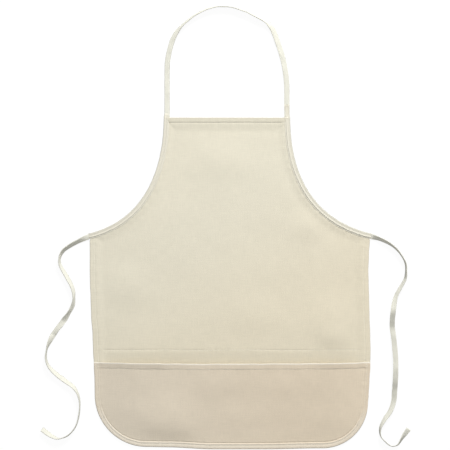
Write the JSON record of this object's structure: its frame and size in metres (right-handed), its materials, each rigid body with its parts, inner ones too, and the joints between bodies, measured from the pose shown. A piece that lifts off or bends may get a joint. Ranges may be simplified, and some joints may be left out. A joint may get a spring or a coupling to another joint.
{
  "type": "bib apron",
  "caption": "Plain cream cotton bib apron lying flat and face up, with a full-width lap pocket, a fixed neck loop and two loose waist ties.",
  "frame": {"origin": "on the back of the cloth, on the skirt's centreline, level with the two waist corners where the ties start", "axes": "+X to the right of the apron's face, +Y from the skirt towards the neck loop, +Z out of the face, away from the surface that the apron lies on"},
  "size_m": [0.7993, 0.9565, 0.0156],
  "materials": {
    "cloth": "matte",
    "pocket_cloth": "matte",
    "tape": "matte"
  },
  "bodies": {
    "root": {"body_panel": "cloth", "pocket_panel": "pocket_cloth", "left_armhole_binding": "tape", "right_armhole_binding": "tape", "neck_loop": "tape", "left_tie": "tape", "right_tie": "tape"}
  },
  "joints": []
}
